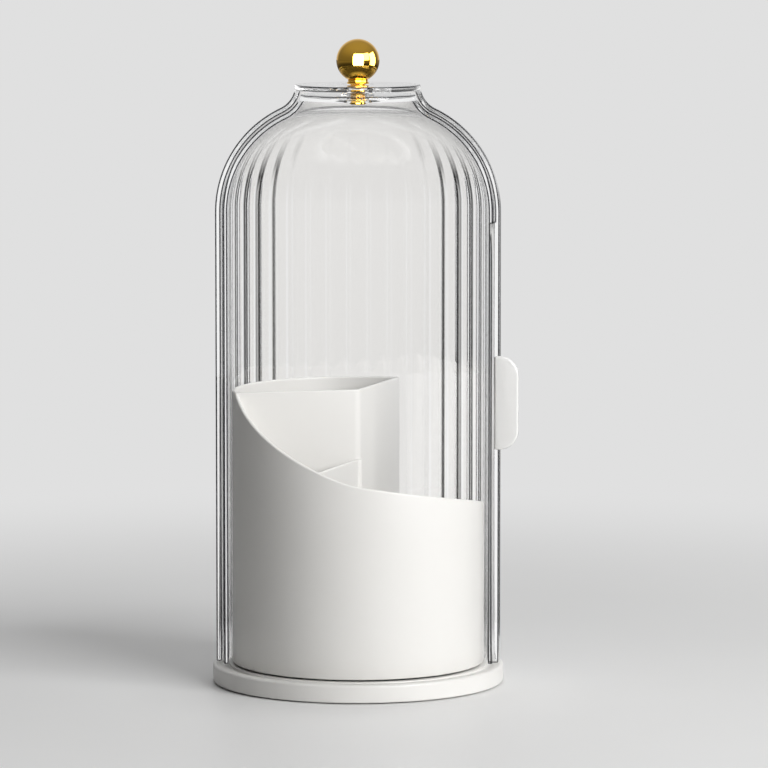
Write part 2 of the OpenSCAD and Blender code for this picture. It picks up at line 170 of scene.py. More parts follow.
class Wiring:
    """A node tree that is cleared and built up node by node."""

    # Socket numbers of a Mix node that mixes colours.
    MIX_FIRST, MIX_SECOND, MIX_RESULT = 6, 7, 2

    def __init__(self, tree: bpy.types.NodeTree) -> None:
        """Clears the tree."""
        self.tree = tree
        tree.nodes.clear()

    def node(
        self, kind: str, settings: Settings = None, inputs: Inputs = None
    ) -> bpy.types.Node:
        """Adds one node.

        Args:
            kind: the node's type.
            settings: its properties, which are set first.
            inputs: values or links for its sockets, by name or number.

        Returns:
            The new node.
        """
        made = self.tree.nodes.new(kind)
        for key, value in (settings or {}).items():
            setattr(made, key, value)
        for key, value in (inputs or {}).items():
            if isinstance(value, Value):
                value = value.socket
            if isinstance(value, bpy.types.NodeSocket):
                self.tree.links.new(value, made.inputs[key])
            else:
                made.inputs[key].default_value = value
        return made

    def value(
        self,
        kind: str,
        settings: Settings = None,
        inputs: Inputs = None,
        output: str | int = 0,
    ) -> Value:
        """Adds one node and returns one of its outputs as a Value."""
        return Value(self, self.node(kind, settings, inputs).outputs[output])

    def axes(self, vector: bpy.types.NodeSocket) -> list[Value]:
        """Splits a vector into its X, Y and Z."""
        parts = self.node("ShaderNodeSeparateXYZ", None, {0: vector})
        return [Value(self, socket) for socket in parts.outputs]

    def mix(self, share: Value, first: Any, second: Any) -> bpy.types.NodeSocket:
        """Blends two colours.

        Args:
            share: how much of the second shows.
            first: a colour or a colour socket.
            second: the same.

        Returns:
            The blended colour's socket.
        """
        inputs: dict[str | int, Any] = {0: share}
        for key, colour in ((self.MIX_FIRST, first), (self.MIX_SECOND, second)):
            linked = isinstance(colour, bpy.types.NodeSocket)
            inputs[key] = colour if linked else (*colour, 1.0)
        made = self.node("ShaderNodeMix", {"data_type": "RGBA"}, inputs)
        return made.outputs[self.MIX_RESULT]

    def fade(self, value: Value, start: float, end: float) -> Value:
        """Goes smoothly from 0 to 1.

        Args:
            value: what decides.
            start: the value at which the result is 0.
            end: the value at which it is 1.

        Returns:
            The result.
        """
        return self.value(
            "ShaderNodeMapRange",
            {"interpolation_type": "SMOOTHSTEP"},
            {"Value": value, "From Min": start, "From Max": end},
        )

    def coordinates(self, kind: str) -> bpy.types.NodeSocket:
        """The texture coordinates of that kind."""
        return self.node("ShaderNodeTexCoord").outputs[kind]

    def object_point(self, scale: Place = (1.0, 1.0, 1.0)) -> bpy.types.NodeSocket:
        """The piece's own coordinates, stretched by scale."""
        inputs = {"Vector": self.coordinates("Object"), "Scale": scale}
        return self.node("ShaderNodeMapping", None, inputs).outputs[0]

    def noise(
        self, size_mm: float, detail: float = 2.0, scale: Place = (1.0, 1.0, 1.0)
    ) -> Value:
        """Adds a noise from 0 to 1.

        Args:
            size_mm: about how large its patches are.
            detail: how many finer noises are laid over it.
            scale: how much it is squeezed along each axis.

        Returns:
            The noise.
        """
        return self.value(
            "ShaderNodeTexNoise",
            None,
            {
                "Vector": self.object_point(scale),
                "Scale": 1.0 / (size_mm * MM),
                "Detail": detail,
            },
        )

    def bump(self, height: Value, depth_mm: float, strength: float) -> bpy.types.NodeSocket:
        """Makes a normal from a height.

        Args:
            height: the height, from 0 to 1.
            depth_mm: how many millimetres a height of 1 stands for.
            strength: how much of the relief shows.

        Returns:
            The normal's socket.
        """
        inputs = {"Strength": strength, "Distance": depth_mm * MM, "Height": height}
        return self.node("ShaderNodeBump", None, inputs).outputs[0]

    def principled(self, inputs: Inputs) -> bpy.types.Node:
        """Adds a Principled shader."""
        return self.node("ShaderNodeBsdfPrincipled", None, inputs)

    def blend(
        self, share: Value, first: bpy.types.Node, second: bpy.types.Node
    ) -> bpy.types.Node:
        """Mixes two shaders, the second as much as share says."""
        inputs = {0: share, 1: first.outputs[0], 2: second.outputs[0]}
        return self.node("ShaderNodeMixShader", None, inputs)

    def surface(self, shader: bpy.types.Node) -> None:
        """Makes a shader the material's surface."""
        self.node("ShaderNodeOutputMaterial", None, {"Surface": shader.outputs[0]})


class Rays:
    """Tells apart the rays that meet a surface or the world, each as 0 or 1."""

    def __init__(self, w: Wiring) -> None:
        """Adds the node that knows a ray's path."""
        self.w = w
        self.path = w.node("ShaderNodeLightPath").outputs

    def is_a(self, kind: str) -> Value:
        """Whether the ray's last bounce was of that kind."""
        return Value(self.w, self.path[f"Is {kind} Ray"])

    def bounced(self, kind: str, limit: float) -> Value:
        """Whether the ray has more bounces of that kind than limit."""
        return Value(self.w, self.path[f"{kind} Depth"]).math("GREATER_THAN", limit)

    def scattered(self) -> Value:
        """Whether a matt surface scattered the ray before."""
        return self.bounced("Diffuse", NO_BOUNCE)

    def trapped(self) -> Value:
        """Whether the ray ran on inside a clear wall."""
        long_path = self.bounced("Ray", LONGEST_PATH)
        return long_path * self.bounced("Glossy", MOST_MIRRORED) * (1.0 - self.scattered())

    def straight(self) -> Value:
        """Whether the ray comes straight through clear walls."""
        clean = (1.0 - self.bounced("Glossy", NO_BOUNCE)) * (1.0 - self.scattered())
        return self.is_a("Transmission") * clean

    def gloss(self) -> Value:
        """Whether the ray was mirrored, and never scattered."""
        return self.is_a("Glossy") * (1.0 - self.scattered())


def new_material(name: str) -> tuple[bpy.types.Material, Wiring]:
    """Makes an empty node material.

    Args:
        name: the material's name.

    Returns:
        The material and the wiring of its cleared tree.
    """
    material = bpy.data.materials.new(name)
    material.use_nodes = True
    return material, Wiring(material.node_tree)


# --------------------------------------------------------------------------
# Finishes


@dataclass(frozen=True)
class MouldedPlastic:
    """Opaque moulded plastic with a fine skin and faint flow marks."""

    name: str
    colour: Colour
    shade: Colour
    roughness: float
    roughness_swing: float = 0.06
    coat: float = 0.0
    coat_roughness: float = 0.12
    ior: float = 1.5
    flow_mm: float = 28.0
    flow_scale: Place = (1.0, 1.0, 0.35)
    flow_share: float = 0.5
    patch_mm: float = 7.0
    patch_share: float = 0.25
    grain_mm: float = 0.35
    relief_mm: float = 0.004
    relief: float = 0.35

    def make(self) -> bpy.types.Material:
        """Builds the material.

        Returns:
            The material.
        """
        material, w = new_material(self.name)
        flow = w.noise(self.flow_mm, detail=3.0, scale=self.flow_scale)
        patch = w.noise(self.patch_mm, detail=4.0)
        share = flow * self.flow_share + patch * self.patch_share
        shader = w.principled(
            {
                "Base Color": w.mix(share, self.colour, self.shade),
                "Roughness": self.roughness + (patch - 0.5) * self.roughness_swing,
                "IOR": self.ior,
                "Coat Weight": self.coat,
                "Coat Roughness": self.coat_roughness,
                "Normal": w.bump(w.noise(self.grain_mm), self.relief_mm, self.relief),
            }
        )
        w.surface(shader)
        return material


@dataclass(frozen=True)
class ClearPlastic:
    """Clear polished plastic, with painted shade where it is seen edge on.

    Light that runs on inside a wall leaves it after a few turns, so cut ends look
    pale. Shadow rays and scattered light pass it, so what stands behind it is as
    bright as without it. Along the valleys of flutes seen from the side, a dark
    colour is painted in as shade.
    """

    name: str
    tint: Colour = (0.995, 0.997, 1.0)
    # This near-black colour is painted shade, which the wall turns to where it is seen edge on.
    edge: Colour = (0.02, 0.021, 0.022)
    edge_shade_from: float = 0.93
    passes: Colour = (0.985, 0.987, 0.99)
    ior: float = 1.49
    roughness: float = 0.012
    haze: float = 0.02
    haze_power: float = 3.0
    smear_mm: float = 11.0
    smear_scale: Place = (1.0, 1.0, 0.25)
    flutes: int = 0
    # This near-black colour is painted shade, laid along the flutes' valleys.
    valley_shade: Colour = (0.002, 0.002, 0.002)
    valley_width: float = 0.15
    valley_core: float = 0.4
    valley_top: Span = (252.0, 278.0)
    seen_inside: Span = (0.055, 0.10)
    seen_outside: Span = (0.25, 0.60)

    def make(self) -> bpy.types.Material:
        """Builds the material.

        Returns:
            The material.
        """
        material, w = new_material(self.name)
        # Painted shade: the colour turns dark where the wall is seen edge on.
        facing = w.value("ShaderNodeLayerWeight", None, {"Blend": UNBENT}, "Facing")
        colour = w.mix(w.fade(facing, self.edge_shade_from, 1.0), self.tint, self.edge)
        if self.flutes:
            # Painted shade along the flutes' valleys where they are seen from the side.
            colour = w.mix(self.valleys(w) * self.sideways(w), colour, self.valley_shade)
        smear = w.noise(self.smear_mm, detail=4.0, scale=self.smear_scale)
        shader = w.principled(
            {
                "Base Color": colour,
                "Roughness": self.roughness + (smear**self.haze_power) * self.haze,
                "IOR": self.ior,
                "Transmission Weight": 1.0,
            }
        )
        let_by = w.node("ShaderNodeBsdfTransparent", None, {"Color": (*self.passes, 1.0)})
        rays = Rays(w)
        passing = rays.is_a("Shadow").math("MAXIMUM", rays.trapped())
        w.surface(w.blend(passing.math("MAXIMUM", rays.scattered()), shader, let_by))
        return material

    def sideways(self, w: Wiring) -> Value:
        """Is 1 where a wall is seen from the side, on its inner or its outer face.

        Args:
            w: the material's wiring.

        Returns:
            The share, as if the wall had no flutes.
        """
        level = w.node(
            "ShaderNodeVectorMath",
            {"operation": "MULTIPLY"},
            {0: w.object_point(), 1: (1.0, 1.0, 0.0)},
        )
        outwards = w.node(
            "ShaderNodeVectorTransform",
            {"vector_type": "NORMAL", "convert_from": "OBJECT", "convert_to": "WORLD"},
            {"Vector": level.outputs["Vector"]},
        )
        inputs = {"Blend": UNBENT, "Normal": outwards.outputs["Vector"]}
        turned_off = w.value("ShaderNodeLayerWeight", None, inputs, "Facing")
        inside = w.value("ShaderNodeNewGeometry", None, None, "Backfacing")
        within = w.fade(turned_off, *self.seen_inside) * inside
        return within + w.fade(turned_off, *self.seen_outside) * (1.0 - inside)

    def valleys(self, w: Wiring) -> Value:
        """Is 1 along each flute's bottom, where shade is painted, and 0 above the flutes' tops.

        Args:
            w: the material's wiring.

        Returns:
            The share.
        """
        x, y, z = w.axes(w.object_point())
        phase = (y.math("ARCTAN2", x) * (self.flutes / math.tau)).math("FRACT")
        off = (phase - 0.5).math("ABSOLUTE")
        groove = w.fade(off, self.valley_width, self.valley_core * self.valley_width)
        low, high = self.valley_top
        return groove * w.fade(z, high * MM, low * MM)


@dataclass(frozen=True)
class Metal:
    """Metal with a faint haze, fine turning lines and small tone changes."""

    name: str
    colour: Colour
    shade: Colour
    roughness: float
    haze: float = 0.04
    haze_power: float = 2.0
    patch_mm: float = 6.0
    patch_share: float = 0.6
    lines: float = 0.0
    line_mm: float = 0.5
    line_scale: Place = (0.05, 0.05, 3.0)
    line_depth_mm: float = 0.01

    def make(self) -> bpy.types.Material:
        """Builds the material.

        Returns:
            The material.
        """
        material, w = new_material(self.name)
        patch = w.noise(self.patch_mm, detail=5.0)
        inputs: dict[str | int, Any] = {
            "Base Color": w.mix(patch * self.patch_share, self.colour, self.shade),
            "Metallic": 1.0,
            "Roughness": self.roughness + (patch**self.haze_power) * self.haze,
        }
        if self.lines:
            fine = w.noise(self.line_mm, scale=self.line_scale)
            inputs["Normal"] = w.bump(fine, self.line_depth_mm, self.lines)
        w.surface(w.principled(inputs))
        return material


@dataclass(frozen=True)
class FoamRubber:
    """Fine-celled foam rubber, with painted shade in its pits."""

    name: str
    colour: Colour = (0.035, 0.035, 0.038)
    pore_shade: Colour = (0.012, 0.012, 0.013)
    cell_mm: float = 0.7
    cell_depth_mm: float = 0.12
    relief: float = 0.6
    roughness: float = 0.78
    roughness_swing: float = 0.15
    patch_mm: float = 4.0

    def make(self) -> bpy.types.Material:
        """Builds the material.

        Returns:
            The material.
        """
        material, w = new_material(self.name)
        cells = w.value(
            "ShaderNodeTexVoronoi",
            {"feature": "F1"},
            {"Vector": w.object_point(), "Scale": 1.0 / (self.cell_mm * MM)},
            "Distance",
        )
        shader = w.principled(
            {
                # The pits' darker colour is painted shade.
                "Base Color": w.mix(cells, self.pore_shade, self.colour),
                "Roughness": self.roughness + w.noise(self.patch_mm) * self.roughness_swing,
                "Normal": w.bump(cells, self.cell_depth_mm, self.relief),
            }
        )
        w.surface(shader)
        return material


class Finishes:
    """Every finish: one material for each slot, and two more for the clear halves."""

    SATIN = MouldedPlastic(
        "satin_white", (0.86, 0.85, 0.825), (0.83, 0.815, 0.785), roughness=0.36
    )
    GLOSS = MouldedPlastic(
        "gloss_white",
        (0.90, 0.895, 0.88),
        (0.87, 0.865, 0.85),
        roughness=0.16,
        roughness_swing=0.03,
        coat=0.3,
    )
    GOLD = Metal(
        "polished_gold", (0.90, 0.53, 0.08), (0.82, 0.45, 0.05), roughness=0.04, haze=0.02
    )
    STEEL = Metal(
        "pressed_steel",
        (0.60, 0.61, 0.63),
        (0.45, 0.46, 0.48),
        roughness=0.28,
        haze=0.12,
        lines=0.25,
    )
    BALL = Metal("bearing_steel", (0.74, 0.75, 0.77), (0.66, 0.67, 0.70), roughness=0.06)
    NYLON = MouldedPlastic("natural_nylon", (0.82, 0.80, 0.74), (0.76, 0.74, 0.67), roughness=0.5)

    def __init__(self, flutes: int) -> None:
        """Builds the materials.

        Args:
            flutes: how many flutes go round the cover.
        """
        recipes = {
            Slot.WHITE: self.SATIN,
            Slot.CLEAR: ClearPlastic("clear_polished"),
            Slot.HANDLE: self.GLOSS,
            Slot.GOLD: self.GOLD,
            Slot.STEEL: self.STEEL,
            Slot.BALL: self.BALL,
            Slot.NYLON: self.NYLON,
            Slot.FOAM: FoamRubber("foam_rubber_skin"),
        }
        self.materials = {slot: recipe.make() for slot, recipe in recipes.items()}
        self.fluted = ClearPlastic("clear_fluted", flutes=flutes).make()
        # A near-black tint: painted shade on the cut ends and the top plate's rounded edge.
        self.cut_edge_shade = ClearPlastic("clear_cut_edge", tint=(0.006, 0.006, 0.007)).make()

    def of(self, slot: Slot) -> bpy.types.Material:
        """The material of a slot."""
        return self.materials[slot]


# --------------------------------------------------------------------------
# Mesh making


class Pen:
    """Draws a profile in the XZ plane, with X as the radius."""

    def __init__(self, bm: BMesh, r: float, z: float) -> None:
        """Puts the pen down.

        Args:
            bm: the mesh to draw in.
            r: the first vertex's radius.
            z: its height.
        """
        self.bm = bm
        self.verts: list[BMVert] = list(bmesh.ops.create_vert(bm, co=(r, 0.0, z))["vert"])
        self.edges: list[BMEdge] = []

    def _step(self, vert: BMVert) -> None:
        """Takes the next vertex.

        Args:
            vert: a vertex that an operator has joined to the last one.
        """
        edge = self.bm.edges.get((self.verts[-1], vert))
        assert edge is not None
        self.edges.append(edge)
        self.verts.append(vert)

    def line(self, r: float, z: float, parts: int = 1) -> "Pen":
        """Draws a straight line.

        Args:
            r: the radius it ends at.
            z: the height it ends at.
            parts: how many edges it has.

        Returns:
            The pen.
        """
        start = self.verts[-1].co.copy()
        for i in range(1, parts + 1):
            made = bmesh.ops.extrude_vert_indiv(self.bm, verts=[self.verts[-1]])
            made["verts"][0].co = start.lerp(Vector((r, 0.0, z)), i / parts)
            self._step(made["verts"][0])
        return self

    def arc(self, centre: Point, turn: float, parts: int) -> "Pen":
        """Draws an arc.

        Args:
            centre: its centre's radius and height.
            turn: degrees, from the radius towards up.
            parts: how many edges it has.

        Returns:
            The pen.
        """
        for _ in range(parts):
            made = bmesh.ops.spin(
                self.bm,
                geom=[self.verts[-1]],
                cent=(centre[0], 0.0, centre[1]),
                axis=(0.0, -1.0, 0.0),
                angle=math.radians(turn / parts),
                steps=1,
            )
            self._step(next(g for g in made["geom_last"] if isinstance(g, BMVert)))
        return self

    def close(self) -> "Pen":
        """Joins the last vertex to the first."""
        self.edges.append(self.bm.edges.new((self.verts[-1], self.verts[0])))
        return self


def spin_on(
    bm: BMesh, edges: Sequence[BMEdge], turns: Sequence[tuple[float, int]]
) -> list[BMEdge]:
    """Spins edges about the upright axis, in turns that follow each other.

    Args:
        bm: the mesh.
        edges: the edges to spin.
        turns: for each turn, its degrees and its number of steps.

    Returns:
        The edges at the end of the last turn.
    """
    last = list(edges)
    for degrees, steps in turns:
        verts = list({v for e in last for v in e.verts})
        made = bmesh.ops.spin(
            bm,
            geom=[*verts, *last],
            cent=ORIGIN,
            axis=UP,
            angle=math.radians(degrees),
            steps=steps,
        )
        last = [g for g in made["geom_last"] if isinstance(g, BMEdge)]
    return last


def chain_ends(edges: Sequence[BMEdge]) -> list[BMVert]:
    """The two vertices where an open chain of edges begins and ends."""
    verts = [v for e in edges for v in e.verts]
    return [v for v in verts if verts.count(v) == 1]


def lathe(draw: Callable[[BMesh], Pen], steps: int = 96, soften: float = 0.0) -> BMesh:
    """Turns a profile all the way round.

    Args:
        draw: draws the profile into a mesh.
        steps: how many steps the turn has.
        soften: how wide its sharp edges are rounded.

    Returns:
        The mesh.
    """
    bm = bmesh.new()
    pen = draw(bm)
    bmesh.ops.spin(
        bm,
        geom=[*pen.verts, *pen.edges],
        cent=ORIGIN,
        axis=UP,
        angle=math.tau,
        steps=steps,
        use_merge=True,
    )
    tidy(bm)
    if soften:
        round_edges(bm, sharp_edges(bm, SHARP_TURNED), soften)
    return bm


def thicken(bm: BMesh, depth: float) -> None:
    """Pulls a face drawn in the XZ plane into a closed plate.

    Args:
        bm: the mesh.
        depth: how thick the plate is, towards -Y.
    """
    made = bmesh.ops.extrude_face_region(bm, geom=list(bm.faces))
    moved = [g for g in made["geom"] if isinstance(g, BMVert)]
    bmesh.ops.translate(bm, verts=moved, vec=(0.0, -depth, 0.0))
    tidy(bm)


def merge(bm: BMesh) -> None:
    """Merges vertices that lie in the same spot."""
    bmesh.ops.remove_doubles(bm, verts=bm.verts, dist=SAME_SPOT)


def tidy(bm: BMesh) -> None:
    """Merges doubles and turns the faces outwards."""
    merge(bm)
    bmesh.ops.recalc_face_normals(bm, faces=bm.faces)


def sharp_edges(bm: BMesh, degrees: float) -> list[BMEdge]:
    """The edges whose two faces meet at more than that angle."""
    limit = math.radians(degrees)
    return [e for e in bm.edges if len(e.link_faces) == 2 and e.calc_face_angle(0.0) > limit]


def round_edges(
    bm: BMesh, edges: Sequence[BMEdge], width: float, segments: int = 2, clamp: bool = True
) -> list[BMFace]:
    """Rounds edges to that width, or less where clamp finds too little room.

    Args:
        bm: the mesh.
        edges: the edges to round.
        width: how far the rounding reaches on each side.
        segments: how many faces it has across.
        clamp: whether the narrowest place limits the width everywhere.

    Returns:
        The faces that this makes.
    """
    made = bmesh.ops.bevel(
        bm,
        geom=list(edges),
        offset=width,
        offset_type="OFFSET",
        affect="EDGES",
        segments=segments,
        profile=0.5,
        material=-1,
        clamp_overlap=clamp,
    )
    return made["faces"]


def turned(bm: BMesh, degrees: float, axis: str = "Z") -> None:
    """Turns the whole mesh about an axis through the origin."""
    turn = Matrix.Rotation(math.radians(degrees), 3, axis)
    bmesh.ops.rotate(bm, verts=bm.verts, cent=ORIGIN, matrix=turn)


def raised(bm: BMesh, z: float) -> None:
    """Moves the whole mesh up by z."""
    bmesh.ops.translate(bm, verts=bm.verts, vec=(0.0, 0.0, z))


def joined(*parts: BMesh) -> BMesh:
    """Puts several meshes into one.

    Args:
        parts: the meshes, which are used up.

    Returns:
        One mesh that holds them all.
    """
    whole = bmesh.new()
    for part in parts:
        carrier = bpy.data.meshes.new("carrier")
        part.to_mesh(carrier)
        part.free()
        whole.from_mesh(carrier)
        bpy.data.meshes.remove(carrier)
    return whole


@dataclass(frozen=True)
class Piece:
    """What a finished mesh is called, and where it belongs."""

    name: str
    body: Body
    slot: Slot
    stands_for: str
    crease: float = 30.0

    def settle(
        self, bm: BMesh, finishes: Finishes, *trims: bpy.types.Material
    ) -> bpy.types.Object:
        """Turns a mesh into an object of the scene.

        Args:
            bm: the mesh in millimetres, which is used up.
            finishes: the materials.
            trims: materials of the faces whose material number is 1, 2 and so on.

        Returns:
            The object.
        """
        bmesh.ops.scale(bm, verts=bm.verts, vec=(MM, MM, MM))
        mesh = bpy.data.meshes.new(self.name)
        bm.to_mesh(mesh)
        bm.free()
        mesh.shade_smooth()
        mesh.set_sharp_from_angle(angle=math.radians(self.crease))
        for material in (finishes.of(self.slot), *trims):
            mesh.materials.append(material)
        piece = bpy.data.objects.new(self.name, mesh)
        bpy.context.scene.collection.objects.link(piece)
        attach(piece, self.body.value)
        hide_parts(self.stands_for)
        log.info("%s: %d faces on %s", self.name, len(mesh.polygons), self.body.value)
        return piece


# --------------------------------------------------------------------------
# Clear cover


@dataclass(frozen=True)
class Bell:
    """The bell that both halves of the cover share, at the door's crests."""

    crest_r: float = 71.4
    shoulder_r: float = 57.5
    shoulder_z: float = 236.34
    neck_r: float = 31.2
    neck_curve: float = 13.0
    top: float = 300.0
    flutes: int = 40
    flute_depth: float = 1.0
    flute_end: float = 30.0
    flute_fade: float = 24.0

    @property
    def shoulder_x(self) -> float:
        """Radius of the shoulder curve's centre."""
        return self.crest_r - self.shoulder_r

    @property
    def neck_x(self) -> float:
        """Radius of the neck curve's centre."""
        return self.neck_r + self.neck_curve

    @property
    def meeting(self) -> float:
        """Direction from the shoulder's centre to the neck's, in degrees."""
        rise, run = self.top - self.shoulder_z, self.neck_x - self.shoulder_x
        return math.degrees(math.atan2(rise, run))

    def neck_turn(self, depth: float, z: float) -> float:
        """How far the neck's curve, depth inside the crests, turns on its way up to z."""
        end = math.degrees(math.asin((self.top - z) / (self.neck_curve + depth)))
        return -(self.meeting - end)

    def neck_point(self, depth: float, z: float) -> Point:
        """Where the neck's curve, depth inside the crests, passes the height z."""
        curve, rise = self.neck_curve + depth, self.top - z
        return self.neck_x - math.sqrt(curve**2 - rise**2), z

    def depth(self, r: float, z: float) -> tuple[float, Vector]:
        """How far inside the crests a point lies.

        Args:
            r: its radius.
            z: its height.

        Returns:
            The depth, and the outward direction there in the XZ plane.
        """
        if z <= self.shoulder_z:
            return self.crest_r - r, Vector((1.0, 0.0))
        arm = Vector((r - self.shoulder_x, z - self.shoulder_z))
        if math.degrees(math.atan2(arm.y, arm.x)) <= self.meeting:
            return self.shoulder_r - arm.length, arm.normalized()
        arm = Vector((self.neck_x - r, self.top - z))
        return arm.length - self.neck_curve, arm.normalized()

    def flute(self, angle: float, r: float, z: float) -> float:
        """How deep the fluted surface lies below its crests.

        Args:
            angle: degrees about the axis.
            r: radius.
            z: height.

        Returns:
            The depth, a curve that is deepest half way between two crests.
        """
        off = 2.0 * ((angle * self.flutes / WHOLE_TURN + 0.5) % 1.0) - 1.0
        arm = Vector((r - self.shoulder_x, z - self.shoulder_z))
        up = math.degrees(math.atan2(arm.y, arm.x)) if z > self.shoulder_z else 0.0
        narrowing = r / self.crest_r
        fade = min(1.0, max(0.0, (self.flute_end - up) / self.flute_fade))
        fade = fade * fade * (3.0 - 2.0 * fade)
        return self.flute_depth * narrowing * fade * off * off


@dataclass(frozen=True)
class HalfCover:
    """Half of the clear bell, with its whole round top plate."""

    piece: Piece
    start: float
    end: float
    outer: float
    inner: float
    foot: float
    plate_z: float
    top: float
    hole_r: float
    bell: Bell = Bell()
    foot_inside: float = 0.5
    foot_outside: float = 0.6
    plate_round: float = 0.5
    hole_round: float = 0.2
    edge_round: float = 0.7
    lip_r: float = 0.0
    lip_top: float = 232.3
    lip_slope: float = 1.0
    lip_deg: float = 2.1
    lip_slack: float = 0.1
    skin: float = 1.0
    step: float = 0.75
    end_step: float = 0.5
    neck_parts: int = 14
    shoulder_parts: int = 36
    wall_parts: int = 12
    foot_parts: int = 3
    plate_parts: int = 4

    def turns(self) -> list[tuple[float, int]]:
        """The turns from start to end, with steps that meet crests and valleys.

        Returns:
            The degrees and the number of steps of three turns.
        """
        first = math.ceil((self.start + self.end_step) / self.step) * self.step
        last = math.floor((self.end - self.end_step) / self.step) * self.step
        return [
            (first - self.start, 1),
            (last - first, round((last - first) / self.step)),
            (self.end - last, 1),
        ]

    def build(self, finishes: Finishes) -> bpy.types.Object:
        """Builds the half cover.

        Args:
            finishes: the materials.

        Returns:
            The object.
        """
        bm = joined(self.wall(), self.plate())
        merge(bm)
        turned(bm, self.start)
        self.carve(bm)
        self.line_brow(bm)
        bmesh.ops.recalc_face_normals(bm, faces=bm.faces)
        self.soften_ends(bm)
        return self.piece.settle(bm, finishes, finishes.fluted, finishes.cut_edge_shade)

    def rim(self) -> Point:
        """Radius and height where the outer face meets the plate's underside."""
        return self.bell.neck_point(self.outer, self.plate_z)

    def under(self) -> Point:
        """Radius and height where the inner face meets the plate's underside."""
        return self.bell.neck_point(self.inner, self.plate_z)

    def wall(self) -> BMesh:
        """Spins the wall's section, from the plate down inside and up outside.

        Returns:
            The mesh, with its two cut ends closed and its top open.
        """
        bell = self.bell
        r_out, r_in = bell.crest_r - self.outer, bell.crest_r - self.inner
        shoulder, neck = (bell.shoulder_x, bell.shoulder_z), (bell.neck_x, bell.top)
        near, far = self.foot_inside, self.foot_outside
        bm = bmesh.new()
        pen = Pen(bm, *self.under())
        pen.arc(neck, -bell.neck_turn(self.inner, self.plate_z), self.neck_parts)
        pen.arc(shoulder, -bell.meeting, self.shoulder_parts)
        pen.line(r_in, self.lip_top).line(r_in, self.lip_top - self.lip_slope)
        pen.line(r_in, self.foot + near, self.wall_parts)
        pen.arc((r_in + near, self.foot + near), QUARTER_TURN, self.foot_parts)
        pen.line(r_out - far, self.foot)
        pen.arc((r_out - far, self.foot + far), QUARTER_TURN, self.foot_parts)
        pen.line(r_out, bell.shoulder_z, self.wall_parts)
        pen.arc(shoulder, bell.meeting, self.shoulder_parts)
        pen.arc(neck, bell.neck_turn(self.outer, self.plate_z), self.neck_parts)
        for chain in (pen.edges, spin_on(bm, pen.edges, self.turns())):
            seam = bm.edges.new(chain_ends(chain))
            bmesh.ops.contextual_create(bm, geom=[*chain, seam])
        return bm

    def plate(self) -> BMesh:
        """Spins the top plate's section, closed where there is no wall under it.

        Returns:
            The mesh.
        """
        bell, edge, hole = self.bell, self.plate_round, self.hole_round
        bm = bmesh.new()
        pen = Pen(bm, *self.rim())
        up = bell.neck_turn(self.outer, self.top - edge) - bell.neck_turn(self.outer, self.plate_z)
        pen.arc((bell.neck_x, bell.top), up, self.plate_parts)
        pen.arc((pen.verts[-1].co.x - edge, self.top - edge), QUARTER_TURN, self.plate_parts)
        pen.line(self.hole_r + hole, self.top, self.plate_parts)
        pen.line(self.hole_r, self.top - hole).line(self.hole_r, self.plate_z + hole)
        pen.line(self.hole_r + hole, self.plate_z).line(*self.under(), self.plate_parts)
        spin_on(bm, pen.edges, self.turns())
        rest = WHOLE_TURN - (self.end - self.start)
        spin_on(bm, pen.close().edges, [(-rest, round(rest / (2.0 * self.step)))])
        return bm

    def carve(self, bm: BMesh) -> None:
        """Presses the flutes into the outer face, and pulls the stop lip inwards.

        Args:
            bm: the mesh.
        """
        outside = set()
        for vert in bm.verts:
            r = math.hypot(vert.co.x, vert.co.y)
            angle = math.degrees(math.atan2(vert.co.y, vert.co.x))
            depth, out = self.bell.depth(r, vert.co.z)
            if depth - self.outer < self.skin and vert.co.z < self.plate_z:
                outside.add(vert)
                drop = self.bell.flute(angle, r, vert.co.z)
                vert.co.x -= vert.co.x / r * out.x * drop
                vert.co.y -= vert.co.y / r * out.x * drop
                vert.co.z -= out.y * drop
            elif self.is_lip(angle, vert.co.z):
                vert.co.x *= self.lip_r / r
                vert.co.y *= self.lip_r / r
        for face in bm.faces:
            face.material_index = FLUTED if all(v in outside for v in face.verts) else 0

    def is_lip(self, angle: float, z: float) -> bool:
        """Whether the inner face is pulled inwards in that direction and height."""
        beside = self.start - self.lip_slack < angle < self.start + self.lip_deg
        return bool(self.lip_r) and beside and z < self.lip_top - self.lip_slope / 2.0

    def line_brow(self, bm: BMesh) -> None:
        """Paints the rounded edge about the top plate dark, the same painted shade as the cut
        edges get.

        Args:
            bm: the mesh.
        """
        width = self.plate_round + SLACK
        high = [v for v in bm.verts if v.co.z > self.top - width]
        reach = max(v.co.xy.length for v in high) - width
        brow = {v for v in high if v.co.xy.length > reach}
        for face in bm.faces:
            if all(v in brow for v in face.verts):
                face.material_index = CUT_EDGE_SHADE

    def soften_ends(self, bm: BMesh) -> None:
        """Rounds the upright edges where the bell is cut in two.

        Args:
            bm: the mesh. Its cut ends are its only faces with many sides.
        """
        ends = [f for f in bm.faces if len(f.verts) > self.shoulder_parts]
        below = self.plate_z - self.plate_round
        edges = [e for f in ends for e in f.edges if all(v.co.z < below for v in e.verts)]
        # The rounded faces get the near-black tint, which is painted shade.
        for face in round_edges(bm, edges, self.edge_round, clamp=False):
            face.material_index = CUT_EDGE_SHADE


@dataclass(frozen=True)
class Cover:
    """The clear cover: a fixed rear half, and a door that slides round behind it."""

    rear: HalfCover = HalfCover(
        Piece("clear_rear_half", Body.COVER, Slot.CLEAR, "rear_cover", crease=60.0),
        start=-3.63,
        end=183.63,
        outer=3.4,
        inner=6.1,
        foot=8.6,
        plate_z=292.4,
        top=295.1,
        hole_r=3.75,
    )
    door: HalfCover = HalfCover(
        Piece("clear_door", Body.DOOR, Slot.CLEAR, "sliding_door", crease=60.0),
        start=-6.0,
        end=181.0,
        outer=0.0,
        inner=2.8,
        foot=9.8,
        plate_z=297.3,
        top=300.0,
        hole_r=3.76,
        lip_r=65.6,
    )

    def build(self, finishes: Finishes) -> None:
        """Builds both halves."""
        self.rear.build(finishes)
        self.door.build(finishes)


